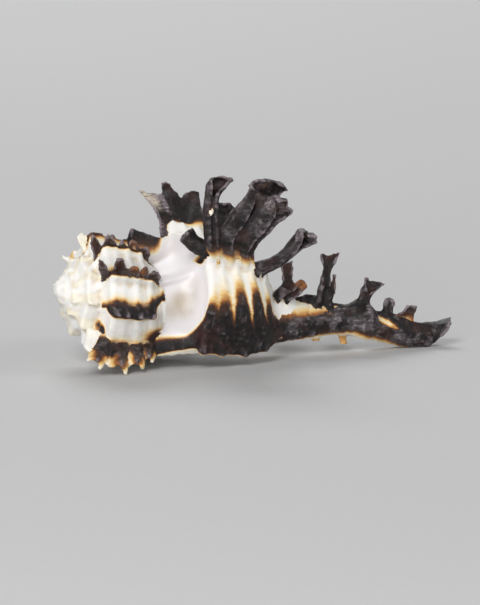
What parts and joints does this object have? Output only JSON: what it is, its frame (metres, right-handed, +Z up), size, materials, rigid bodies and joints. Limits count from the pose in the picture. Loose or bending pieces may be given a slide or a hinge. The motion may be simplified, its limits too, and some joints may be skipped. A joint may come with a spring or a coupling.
{
  "type": "murex shell",
  "caption": "Spiral sea shell with rows of long web-tipped spines, an open mouth and a long tubular canal, lying on its old scales and the canal.",
  "frame": {"origin": "centre of the bounding box in X and Y, at the plane the shell rests on", "axes": "+X towards the end of the canal, -X towards the apex of the spire, +Z up, the mouth underneath"},
  "size_m": [0.0494, 0.0242, 0.0217],
  "materials": {
    "shell": "white porcelain-like lime with black-brown ribs and spines"
  },
  "bodies": {
    "root": {"shell": "shell"}
  },
  "joints": []
}
